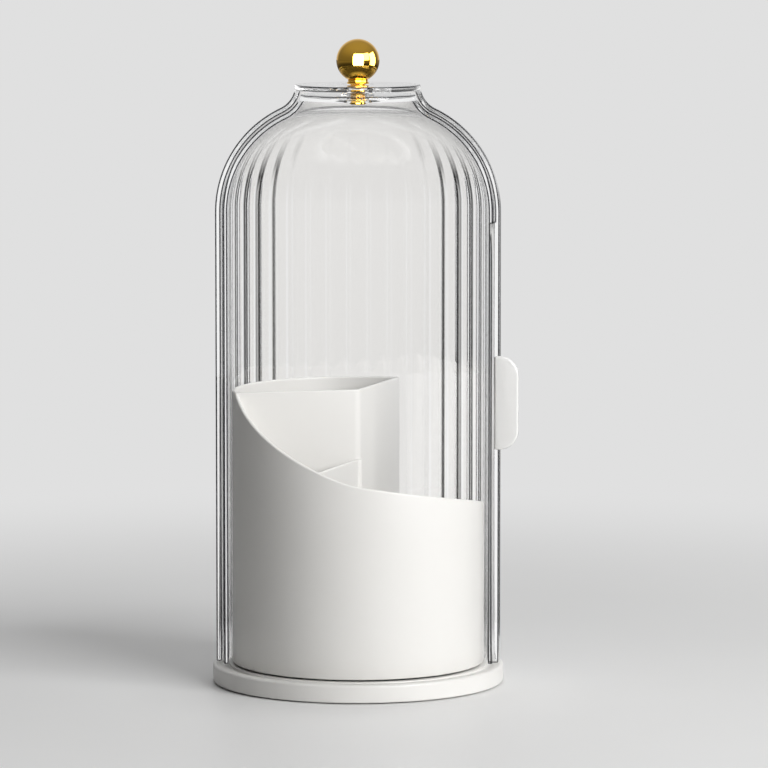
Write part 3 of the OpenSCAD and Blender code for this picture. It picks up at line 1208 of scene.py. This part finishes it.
@dataclass(frozen=True)
class DoorTab:
    """The white tab on the door's leading edge: straight inside, rounded outside."""

    piece: Piece = Piece("door_tab", Body.DOOR, Slot.HANDLE, "door_handle", crease=40.0)
    height: float = 47.0
    middle: float = 141.5
    inner_r: float = 68.6
    outer_r: float = 80.8
    corner: float = 9.6
    corner_parts: int = 12
    thickness: float = 3.0
    edge: float = 1.15
    edge_parts: int = 4
    turn: float = -6.0

    def build(self, finishes: Finishes) -> bpy.types.Object:
        """Builds the tab.

        Args:
            finishes: the materials.

        Returns:
            The object.
        """
        bm = bmesh.new()
        low, high = self.middle - self.height / 2.0, self.middle + self.height / 2.0
        pen = Pen(bm, self.inner_r, low)
        pen.line(self.outer_r, low).line(self.outer_r, high).line(self.inner_r, high).close()
        bmesh.ops.contextual_create(bm, geom=pen.edges)
        bmesh.ops.bevel(
            bm,
            geom=pen.verts[1:3],
            offset=self.corner,
            offset_type="OFFSET",
            affect="VERTICES",
            segments=self.corner_parts,
            profile=0.5,
            material=-1,
        )
        thicken(bm, self.thickness)
        round_edges(bm, sharp_edges(bm, SHARP_PLATE), self.edge, self.edge_parts)
        turned(bm, self.turn)
        return self.piece.settle(bm, finishes)


# --------------------------------------------------------------------------
# Cup


@dataclass(frozen=True)
class Rim:
    """The height of the cup's rim all the way round."""

    high: float = 147.3
    front: float = 106.0
    low: float = 78.3
    power: float = 1.4
    step_dir: float = 71.0
    left_dir: float = 193.0
    front_dir: float = 270.0

    def slope(self, angle: float) -> float:
        """The straight slope that the rim follows on the right."""
        share = (angle - self.front_dir) / (self.step_dir + WHOLE_TURN - self.front_dir)
        return self.front - (self.front - self.low) * share

    def height(self, angle: float) -> float:
        """The rim's height.

        Args:
            angle: degrees about the axis, from step_dir up to a full turn more.

        Returns:
            The height in millimetres.
        """
        if angle <= self.left_dir:
            return self.high
        climb = max(0.0, (self.front_dir - angle) / (self.front_dir - self.left_dir))
        return self.slope(angle) + (self.high - self.slope(self.left_dir)) * climb**self.power


@dataclass(frozen=True)
class Cup:
    """The white cup: a wall with a sloping rim, a floor, dividers and a spindle."""

    piece: Piece = Piece("compartment_cup", Body.CUP, Slot.WHITE, "brush_cup", crease=35.0)
    outer_r: float = 63.2
    wall: float = 2.0
    round_parts: int = 3
    lip_parts: int = 10
    skirt_z: float = 10.4
    skirt_inside: float = 0.4
    skirt_outside: float = 0.5
    floor_z: float = 14.4
    floor_top: float = 16.6
    floor_fillet: float = 1.5
    spindle_r: float = 5.0
    spindle_foot: float = 6.6
    spindle_bevel: float = 0.5
    spindle_fillet: float = 0.8
    screw_r: float = 1.75
    screw_top: float = 14.8
    divider: float = 1.8
    divider_corner: float = 4.0
    divider_drop: float = 1.0
    divider_sunk: float = 1.0
    high_crown: float = 0.765
    low_crown: float = 0.756
    low_reach: float = 0.8
    crown_parts: int = 4
    bend_parts: int = 8
    post_r: float = 2.25
    post_round: float = 0.8
    post_steps: int = 32
    rim: Rim = Rim()
    low_dirs: tuple[float, ...] = (251.0, 311.0, 371.0)
    step: float = 2.0

    @property
    def inner_r(self) -> float:
        """Radius of the wall's inner face."""
        return self.outer_r - self.wall

    @property
    def lip_foot(self) -> float:
        """Height up to which the wall is the same all the way round."""
        return self.rim.low - self.wall / 2.0

    @property
    def divider_foot(self) -> float:
        """Height where the dividers begin, inside the floor."""
        return self.floor_top - self.divider_sunk

    def build(self, finishes: Finishes) -> bpy.types.Object:
        """Builds the cup.

        Args:
            finishes: the materials.

        Returns:
            The object.
        """
        parts = [self.shell(), self.high_dividers(), self.post()]
        parts += [self.low_divider(angle) for angle in self.low_dirs]
        return self.piece.settle(joined(*parts), finishes)

    def shell(self) -> BMesh:
        """The wall, the floor and the spindle, turned from the step round to itself.

        Returns:
            The mesh.
        """
        bm = bmesh.new()
        pen = Pen(bm, 0.0, self.screw_top)
        self.draw_underside(pen)
        self.draw_wall(pen)
        spin_on(bm, pen.edges, [(WHOLE_TURN, round(WHOLE_TURN / self.step))])
        self.slope_rim(bm)
        merge(bm)
        bmesh.ops.contextual_create(bm, geom=[e for e in bm.edges if len(e.link_faces) == 1])
        turned(bm, self.rim.step_dir)
        tidy(bm)
        return bm

    def draw_underside(self, pen: Pen) -> None:
        """Draws the section from the screw's hole round the spindle to the skirt.

        Args:
            pen: a pen at the top of the hole.
        """
        near, far = self.skirt_inside, self.skirt_outside
        bevel, fillet = self.spindle_bevel, self.spindle_fillet
        pen.line(self.screw_r, self.screw_top).line(self.screw_r, self.spindle_foot)
        pen.line(self.spindle_r - bevel, self.spindle_foot)
        pen.line(self.spindle_r, self.spindle_foot + bevel)
        pen.line(self.spindle_r, self.floor_z - fillet)
        few = self.round_parts
        pen.arc((self.spindle_r + fillet, self.floor_z - fillet), -QUARTER_TURN, few)
        pen.line(self.inner_r, self.floor_z, few).line(self.inner_r, self.skirt_z + near)
        pen.arc((self.inner_r + near, self.skirt_z + near), QUARTER_TURN, few)
        pen.line(self.outer_r - far, self.skirt_z)
        pen.arc((self.outer_r - far, self.skirt_z + far), QUARTER_TURN, few)

    def draw_wall(self, pen: Pen) -> None:
        """Draws the section from the skirt up over the lip and in along the floor.

        Args:
            pen: a pen at the skirt's outer face.
        """
        lip, fillet, high = self.wall / 2.0, self.floor_fillet, self.rim.high
        few, more = self.round_parts, self.crown_parts
        pen.line(self.outer_r, self.lip_foot, few).line(self.outer_r, high - lip)
        pen.arc((self.outer_r - lip, high - lip), HALF_TURN, self.lip_parts)
        pen.line(self.inner_r, self.lip_foot)
        pen.line(self.inner_r, self.floor_top + fillet, few)
        pen.arc((self.inner_r - fillet, self.floor_top + fillet), -QUARTER_TURN, more)
        pen.line(0.0, self.floor_top, more)

    def slope_rim(self, bm: BMesh) -> None:
        """Lowers each lip vertex to the rim's height in its direction.

        The vertices come in the order of the turn, so the one that ends it is told
        from the one that starts it by its index.

        Args:
            bm: the mesh, turned from the step at 0 degrees.
        """
        bm.verts.index_update()
        half = len(bm.verts) // 2
        for i, vert in enumerate(bm.verts):
            if vert.co.z <= self.lip_foot + SLACK:
                continue
            angle = math.degrees(math.atan2(vert.co.y, vert.co.x)) % WHOLE_TURN
            if min(angle, WHOLE_TURN - angle) < SLACK:
                angle = 0.0 if i < half else WHOLE_TURN
            vert.co.z += self.rim.height(self.rim.step_dir + angle) - self.rim.high

    def high_dividers(self) -> BMesh:
        """The two high dividers, one bent strip with a round corner.

        Returns:
            The mesh.
        """
        bm = bmesh.new()
        rim, half_t = self.rim, self.divider / 2.0
        half = (rim.left_dir - rim.step_dir) / 2.0
        reach = self.inner_r + self.wall / 2.0
        ray = Vector((math.cos(math.radians(half)), math.sin(math.radians(half))))
        side = Vector((-ray.y, ray.x)) * half_t
        centre = (self.divider_corner / ray.y, 0.0)
        bend = HALF_TURN - 2.0 * half
        tip, back = ray * reach + side, ray * reach - side
        outer, inner = self.divider_corner + half_t, self.divider_corner - half_t
        start = math.radians(QUARTER_TURN + half)
        pen = Pen(bm, tip.x, tip.y)
        pen.line(centre[0] + outer * math.cos(start), outer * math.sin(start))
        pen.arc(centre, bend, self.bend_parts).line(tip.x, -tip.y).line(back.x, -back.y)
        pen.line(centre[0] + inner * math.cos(start), -inner * math.sin(start))
        pen.arc(centre, -bend, self.bend_parts).line(back.x, back.y).close()
        bmesh.ops.contextual_create(bm, geom=pen.edges)
        rise = rim.high - self.divider_foot
        thicken(bm, rise)
        sharp = sharp_edges(bm, SHARP_PLATE)
        crown = [e for e in sharp if min(v.co.y for v in e.verts) < SLACK - rise]
        round_edges(bm, crown, self.high_crown, self.crown_parts)
        turned(bm, -QUARTER_TURN, "X")
        turned(bm, (rim.left_dir + rim.step_dir) / 2.0)
        raised(bm, self.divider_foot)
        return bm

    def low_divider(self, angle: float) -> BMesh:
        """One low divider, a little lower than the rim where it meets the wall.

        Args:
            angle: its direction.

        Returns:
            The mesh.
        """
        height = self.rim.height(angle) - self.divider_drop - self.divider_foot
        start = self.divider / 2.0
        length = self.inner_r + self.low_reach - start
        middle = (start + length / 2.0, 0.0, height / 2.0 + self.divider_foot)
        bm = bmesh.new()
        bmesh.ops.create_cube(bm, size=1.0)
        bmesh.ops.scale(bm, verts=bm.verts, vec=(length, self.divider, height))
        bmesh.ops.translate(bm, verts=bm.verts, vec=middle)
        top = [e for e in bm.edges if all(v.co.z > middle[2] for v in e.verts)]
        crown = [e for e in top if abs(e.verts[0].co.y - e.verts[1].co.y) < SLACK]
        round_edges(bm, crown, self.low_crown, self.crown_parts)
        turned(bm, angle)
        return bm

    def post(self) -> BMesh:
        """The post where the low dividers meet.

        Returns:
            The mesh.
        """
        top = self.rim.height(self.low_dirs[0]) - self.divider_drop
        r, edge = self.post_r, self.post_round

        def draw(bm: BMesh) -> Pen:
            """Draws the post's section."""
            pen = Pen(bm, 0.0, self.divider_foot).line(r, self.divider_foot).line(r, top - edge)
            return pen.arc((r - edge, top - edge), QUARTER_TURN, self.crown_parts).line(0.0, top)

        return lathe(draw, self.post_steps)


# --------------------------------------------------------------------------
# Base and turntable


@dataclass(frozen=True)
class Base:
    """The round base: a ledge with the cover's groove, a deck and the spindle's bush.

    groove holds its outer radius, its inner radius and its floor's height. bush holds
    its outer and inner radius and its top. well, hub and rebate hold a radius and a
    height.
    """

    piece: Piece = Piece("round_base", Body.BASE, Slot.WHITE, "base_tray", crease=35.0)
    outer_r: float = 73.1
    foot_z: float = 0.6
    foot_round: float = 0.8
    foot_parts: int = 5
    edge_round: float = 1.5
    edge_parts: int = 8
    ledge_z: float = 9.5
    groove: tuple[float, float, float] = (68.3, 65.0, 8.3)
    recess_r: float = 60.5
    deck_z: float = 4.7
    deck_top: float = 6.5
    bush: tuple[float, float, float] = (8.5, 5.06, 12.6)
    well: Point = (12.0, 7.0)
    hub: Point = (14.0, 8.8)
    rebate: Point = (67.2, 2.8)
    cavity_r: float = 58.2
    steps: int = 180
    soften: float = 0.22

    def draw(self, bm: BMesh) -> Pen:
        """Draws the base's section.

        Args:
            bm: the mesh to draw in.

        Returns:
            The pen.
        """
        r, foot, edge = self.outer_r, self.foot_round, self.edge_round
        groove_out, groove_in, groove_z = self.groove
        bush_out, bush_in, bush_top = self.bush
        pen = Pen(bm, self.rebate[0], self.foot_z).line(r - foot, self.foot_z)
        pen.arc((r - foot, self.foot_z + foot), QUARTER_TURN, self.foot_parts)
        pen.line(r, self.ledge_z - edge, 2)
        pen.arc((r - edge, self.ledge_z - edge), QUARTER_TURN, self.edge_parts)
        pen.line(groove_out, self.ledge_z).line(groove_out, groove_z)
        pen.line(groove_in, groove_z).line(groove_in, self.ledge_z)
        pen.line(self.recess_r, self.ledge_z).line(self.recess_r, self.deck_top)
        pen.line(self.hub[0], self.deck_top, 3).line(*self.hub)
        pen.line(bush_out, self.hub[1]).line(bush_out, bush_top)
        pen.line(bush_in, bush_top).line(bush_in, self.well[1])
        pen.line(*self.well).line(self.well[0], self.deck_z).line(self.cavity_r, self.deck_z, 3)
        return pen.line(self.cavity_r, self.rebate[1]).line(*self.rebate).close()

    def build(self, finishes: Finishes) -> bpy.types.Object:
        """Builds the base."""
        return self.piece.settle(lathe(self.draw, self.steps, self.soften), finishes)


class Turntable:
    """The bearing and the base's inner parts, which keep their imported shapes."""

    DRESSED: dict[Slot, tuple[str, ...]] = {
        Slot.FOAM: ("non_slip_mat",),
        Slot.WHITE: ("base_bottom_plate",),
        Slot.STEEL: (
            "base_plate_screws", "lower_race", "lower_race_screws", "upper_race",
            "upper_race_screws", "retaining_screw", "retaining_washer",
        ),
        Slot.BALL: ("bearing_balls",),
        Slot.NYLON: ("ball_cage",),
    }

    def dress(self, nodes: Mapping[str, bpy.types.Object], finishes: Finishes) -> None:
        """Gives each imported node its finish.

        Args:
            nodes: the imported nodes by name.
            finishes: the materials.
        """
        for slot, names in self.DRESSED.items():
            for name in names:
                mesh = nodes[name].data
                mesh.materials.clear()
                mesh.materials.append(finishes.of(slot))
                log.info("%s: %s", name, slot.value)


# --------------------------------------------------------------------------
# Knob


@dataclass(frozen=True)
class Fitting:
    """A turned fitting on the axis: a section of radii and heights, closed or not."""

    piece: Piece
    section: tuple[Point, ...]
    soften: float = 0.0
    steps: int = 64
    ball_z: float | None = None
    ball_parts: int = 44

    def draw(self, bm: BMesh) -> Pen:
        """Draws the section, with the ball's arc last where there is one.

        Args:
            bm: the mesh to draw in.

        Returns:
            The pen.
        """
        pen = Pen(bm, *self.section[0])
        for point in self.section[1:]:
            pen.line(*point)
        if self.ball_z is None:
            return pen.close()
        r, z = self.section[-1]
        first = math.degrees(math.atan2(z - self.ball_z, r))
        return pen.arc((0.0, self.ball_z), QUARTER_TURN - first, self.ball_parts)

    def build(self, finishes: Finishes) -> bpy.types.Object:
        """Builds the fitting."""
        return self.piece.settle(lathe(self.draw, self.steps, self.soften), finishes)


@dataclass(frozen=True)
class Knob:
    """The gold ball, its collar, and the stud, sleeve, nut and washers under it."""

    bore_r: float = 2.05
    bore_top: float = 309.187
    ball_r: float = 10.75
    ball_z: float = 311.987
    ball_foot: float = 302.5
    collar_foot: float = 300.3
    collar_outline: tuple[Point, ...] = (
        (5.2, 300.3), (5.45, 300.55), (5.45, 301.0), (5.25, 301.3), (4.95, 301.45),
        (4.9, 301.75), (4.98, 301.95), (4.98, 302.3), (4.78, 302.5),
    )
    sleeve_r: float = 3.7
    nut_foot: float = 290.1
    nut_top: float = 291.9
    nut_outline: tuple[Point, ...] = (
        (3.6, 290.1), (4.15, 290.5), (4.15, 291.4), (3.9, 291.6), (3.9, 291.9),
    )
    stud_outline: tuple[Point, ...] = (
        (0.0, 290.1), (1.6, 290.1), (2.0, 290.5), (2.0, 308.5), (1.6, 308.987),
        (0.0, 308.987),
    )
    ring_bore_r: float = 3.75
    washer_r: float = 4.95
    washer_top: float = 292.4
    spacer_r: float = 8.4
    spacer_foot: float = 295.1
    spacer_top: float = 297.0

    def ball(self) -> Fitting:
        """The ball, open from below for the stud.

        Returns:
            The fitting.
        """
        seat = math.sqrt(self.ball_r**2 - (self.ball_z - self.ball_foot) ** 2)
        bore, foot = self.bore_r, self.ball_foot
        return Fitting(
            Piece("gold_ball", Body.COVER, Slot.GOLD, "knob_ball", crease=40.0),
            ((0.0, self.bore_top), (bore, self.bore_top), (bore, foot), (seat, foot)),
            steps=96,
            ball_z=self.ball_z,
        )

    def collar(self) -> Fitting:
        """The collar between the ball and the door's plate.

        Returns:
            The fitting.
        """
        bore = self.bore_r
        section = ((bore, self.collar_foot), *self.collar_outline, (bore, self.ball_foot))
        piece = Piece("gold_collar", Body.COVER, Slot.GOLD, "knob_collar")
        return Fitting(piece, section, soften=0.06, steps=96)

    def nut(self) -> Fitting:
        """The nut under the plates.

        Returns:
            The fitting.
        """
        section = ((self.bore_r, self.nut_foot), *self.nut_outline, (self.bore_r, self.nut_top))
        piece = Piece("gold_nut", Body.COVER, Slot.GOLD, "lock_nut")
        return Fitting(piece, section, soften=0.05)

    @staticmethod
    def ring(piece: Piece, radii: Span, heights: Span, soften: float) -> Fitting:
        """A plain ring.

        Args:
            piece: what it is.
            radii: its inner and outer radius.
            heights: its foot and its top.
            soften: how wide its edges are rounded.

        Returns:
            The fitting.
        """
        (r_in, r_out), (low, high) = radii, heights
        return Fitting(piece, ((r_in, low), (r_out, low), (r_out, high), (r_in, high)), soften)

    def fittings(self) -> list[Fitting]:
        """Sets out the fittings.

        Returns:
            The fittings, in the order they are built.
        """
        sleeve = Piece("gold_sleeve", Body.COVER, Slot.GOLD, "pivot_sleeve")
        stud = Piece("steel_stud", Body.COVER, Slot.STEEL, "pivot_stud")
        washer = Piece("nylon_washer", Body.COVER, Slot.NYLON, "nut_washer")
        spacer = Piece("clear_spacer", Body.COVER, Slot.CLEAR, "plate_spacer", crease=40.0)
        through = (self.nut_top, self.collar_foot)
        under = (self.nut_top, self.washer_top)
        between = (self.spacer_foot, self.spacer_top)
        return [
            self.ball(),
            self.collar(),
            self.ring(sleeve, (self.bore_r, self.sleeve_r), through, 0.15),
            self.nut(),
            Fitting(stud, self.stud_outline),
            self.ring(washer, (self.ring_bore_r, self.washer_r), under, 0.1),
            self.ring(spacer, (self.ring_bore_r, self.spacer_r), between, 0.25),
        ]

    def build(self, finishes: Finishes) -> list[bpy.types.Object]:
        """Builds every fitting, and returns the gold ones."""
        built = [(fitting.piece.slot, fitting.build(finishes)) for fitting in self.fittings()]
        return [piece for slot, piece in built if slot is Slot.GOLD]


# --------------------------------------------------------------------------
# Studio


def grey(level: float) -> Colour:
    """A grey of that level."""
    return level, level, level


@dataclass(frozen=True)
class SoftBox:
    """A rectangular soft light, which clear walls hide from what lies behind them."""

    name: str
    place: Place
    aim: Place
    size: tuple[float, float]
    watts: float
    mirrored: bool = True

    def build(self) -> bpy.types.Object:
        """Adds the light.

        Returns:
            The light's object.
        """
        lamp = bpy.data.lights.new(self.name, "AREA")
        lamp.shape = "RECTANGLE"
        lamp.size, lamp.size_y = self.size
        lamp.energy = self.watts
        holder = bpy.data.objects.new(self.name, lamp)
        bpy.context.scene.collection.objects.link(holder)
        holder.location = self.place
        reach = Vector(self.aim) - Vector(self.place)
        holder.rotation_euler = reach.to_track_quat("-Z", "Y").to_euler()
        holder.visible_glossy = self.mirrored
        holder.visible_transmission = False
        return holder


@dataclass(frozen=True)
class Studio:
    """The floor, the pale surroundings, the soft lights and the camera.

    room holds the greys that gloss sees below, level and above. The spans after it
    are where one look fades into the next: heights and depths of a direction in the
    world, metres from the middle on the floor.
    """

    backdrop: Colour = grey(0.745)
    ambient: float = 0.06
    room: Place = (0.04, 0.20, 0.42)
    room_low: Span = (-0.25, 0.1)
    room_high: Span = (0.1, 1.0)
    room_back: Span = (0.55, 0.95)
    behind: Colour = (0.875, 0.862, 0.84)
    panel: Colour = (0.96, 0.955, 0.945)
    panels: int = 8
    panel_edge: Span = (-0.45, -0.85)
    panel_steep: Span = (0.55, 0.2)
    floor: Colour = (0.85, 0.85, 0.845)
    floor_shade: float = 0.97
    floor_roughness: Span = (0.42, 0.1)
    floor_r: float = 9.0
    floor_sides: int = 128
    floor_edge: Span = (0.16, 0.75)
    gloss_edge: Span = (0.09, 0.22)
    floor_dim: Span = (0.6, 3.0)
    mottle_mm: float = 90.0
    mottle_share: float = 0.5
    camera_back: float = 2.48
    camera_tilt: float = 6.24
    camera_side: float = 0.013
    aim_z: float = 0.150
    lens: float = 232.0
    sensor: float = 36.0
    boxes: tuple[SoftBox, ...] = (
        SoftBox("key", (1.10, -1.06, 0.85), (0.0, 0.0, 0.12), (1.1, 1.0), 27.5),
        SoftBox("top", (0.0, 0.35, 1.5), (0.0, 0.0, 0.15), (0.9, 0.7), 7.0, mirrored=False),
    )
    cards: tuple[SoftBox, ...] = (
        SoftBox("card", (0.02, -0.42, 0.31), (0.0, 0.0, 0.31), (0.46, 0.66), 14.5),
        SoftBox("side_card", (0.50, -0.02, 0.36), (0.0, 0.0, 0.32), (0.34, 0.46), 5.0),
    )

    def build(self) -> None:
        """Builds the studio."""
        self.surroundings()
        self.ground()
        for box in self.boxes:
            box.build()
        self.camera()

    def show_cards(self, pieces: Sequence[bpy.types.Object]) -> None:
        """Adds the cards that only polished pieces reflect.

        Args:
            pieces: the polished pieces.
        """
        polished = bpy.data.collections.new("polished")
        for piece in pieces:
            polished.objects.link(piece)
        for card in self.cards:
            card.build().light_linking.receiver_collection = polished

    def through_glass(
        self, w: Wiring, x: Value, y: Value, rays: Rays, level: Value | float
    ) -> bpy.types.NodeSocket:
        """What rays through clear walls see: the backdrop, with white panels between.

        Args:
            w: the wiring.
            x: across, of the direction or place that a ray meets.
            y: depth, of the same.
            rays: the rays. Those that ran on inside a wall see only white.
            level: 1 where the panels are, down to 0 for rays that are too steep.

        Returns:
            The colour.
        """
        wave = (x.math("ARCTAN2", y) * self.panels).math("COSINE")
        between = w.fade(wave, *self.panel_edge) * level
        white = (between + rays.trapped() * level).math("MINIMUM", 1.0)
        return w.mix(white, self.behind, self.panel)

    def surroundings(self) -> None:
        """Sets the world: a pale backdrop, a dimmer room for gloss, panels for glass."""
        world = bpy.data.worlds.new("studio")
        bpy.context.scene.world = world
        world.use_nodes = True
        w = Wiring(world.node_tree)
        rays = Rays(w)
        x, y, z = w.axes(w.coordinates("Generated"))
        below, beside, above = (grey(level) for level in self.room)
        room = w.mix(w.fade(z, *self.room_low), below, beside)
        room = w.mix(w.fade(z, *self.room_high), room, above)
        room = w.mix(w.fade(y, *self.room_back), room, self.backdrop)
        lit = w.mix(rays.gloss(), grey(self.ambient), room)
        level = w.fade(z.math("ABSOLUTE"), *self.panel_steep)
        glass = rays.straight().math("MAXIMUM", rays.trapped())
        lit = w.mix(glass, lit, self.through_glass(w, x, y, rays, level))
        colour = w.mix(rays.is_a("Camera"), lit, self.backdrop)
        shown = w.node("ShaderNodeBackground", None, {"Color": colour, "Strength": 1.0})
        w.node("ShaderNodeOutputWorld", None, {"Surface": shown.outputs[0]})

    def ground(self) -> None:
        """Adds the floor, which turns into the backdrop away from the object."""
        bm = bmesh.new()
        bmesh.ops.create_circle(
            bm, cap_ends=True, segments=self.floor_sides, radius=self.floor_r
        )
        mesh = bpy.data.meshes.new("studio_floor")
        bm.to_mesh(mesh)
        bm.free()
        mesh.materials.append(self.ground_material())
        floor = bpy.data.objects.new("studio_floor", mesh)
        bpy.context.scene.collection.objects.link(floor)

    def ground_material(self) -> bpy.types.Material:
        """Builds the floor's material, a matt floor that a glow takes over further out.

        Returns:
            The material.
        """
        material, w = new_material("studio_floor")
        rays = Rays(w)
        point = w.coordinates("Object")
        x, y, _ = w.axes(point)
        away = w.value("ShaderNodeVectorMath", {"operation": "LENGTH"}, {0: point}, "Value")
        mottle = w.noise(self.mottle_mm, detail=4.0)
        shade = tuple(c * self.floor_shade for c in self.floor)
        roughness, swing = self.floor_roughness
        matt = w.principled(
            {
                "Base Color": w.mix(mottle * self.mottle_share, self.floor, shade),
                "Roughness": roughness + mottle * swing,
            }
        )
        camera, gloss = rays.is_a("Camera"), rays.gloss()
        glass = rays.straight().math("MAXIMUM", rays.trapped())
        below, beside, _ = (grey(level) for level in self.room)
        colour = w.mix(w.fade(away, *self.floor_dim), below, beside)
        colour = w.mix(camera, colour, self.backdrop)
        colour = w.mix(glass, colour, self.through_glass(w, x, y, rays, 1.0))
        glow = w.node("ShaderNodeEmission", None, {"Color": colour, "Strength": 1.0})
        seen = camera.math("MAXIMUM", glass).math("MAXIMUM", gloss)
        polished = gloss * (1.0 - glass)
        far = w.fade(away, *self.floor_edge) * (1.0 - polished)
        far = far + w.fade(away, *self.gloss_edge) * polished
        w.surface(w.blend(far * seen, matt, glow))
        return material

    def camera(self) -> None:
        """Adds the camera."""
        data = bpy.data.cameras.new("camera")
        data.lens = self.lens
        data.sensor_width = self.sensor
        holder = bpy.data.objects.new("camera", data)
        bpy.context.scene.collection.objects.link(holder)
        tilt = math.radians(self.camera_tilt)
        aim = Vector((self.camera_side, 0.0, self.aim_z))
        arm = Vector((0.0, -math.cos(tilt), math.sin(tilt))) * self.camera_back
        holder.location = aim + arm
        holder.rotation_euler = (math.pi / 2.0 - tilt, 0.0, 0.0)
        bpy.context.scene.camera = holder


def main() -> None:
    """Builds every sub-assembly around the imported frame."""
    logging.basicConfig(level=logging.INFO, format="%(name)s: %(message)s")
    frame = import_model()
    bpy.context.scene.view_settings.view_transform = "Standard"
    studio = Studio()
    studio.build()
    finishes = Finishes(Bell().flutes)
    Base().build(finishes)
    Turntable().dress(frame["nodes"], finishes)
    Cup().build(finishes)
    Cover().build(finishes)
    DoorTab().build(finishes)
    studio.show_cards(Knob().build(finishes))


if __name__ == "__main__":
    main()
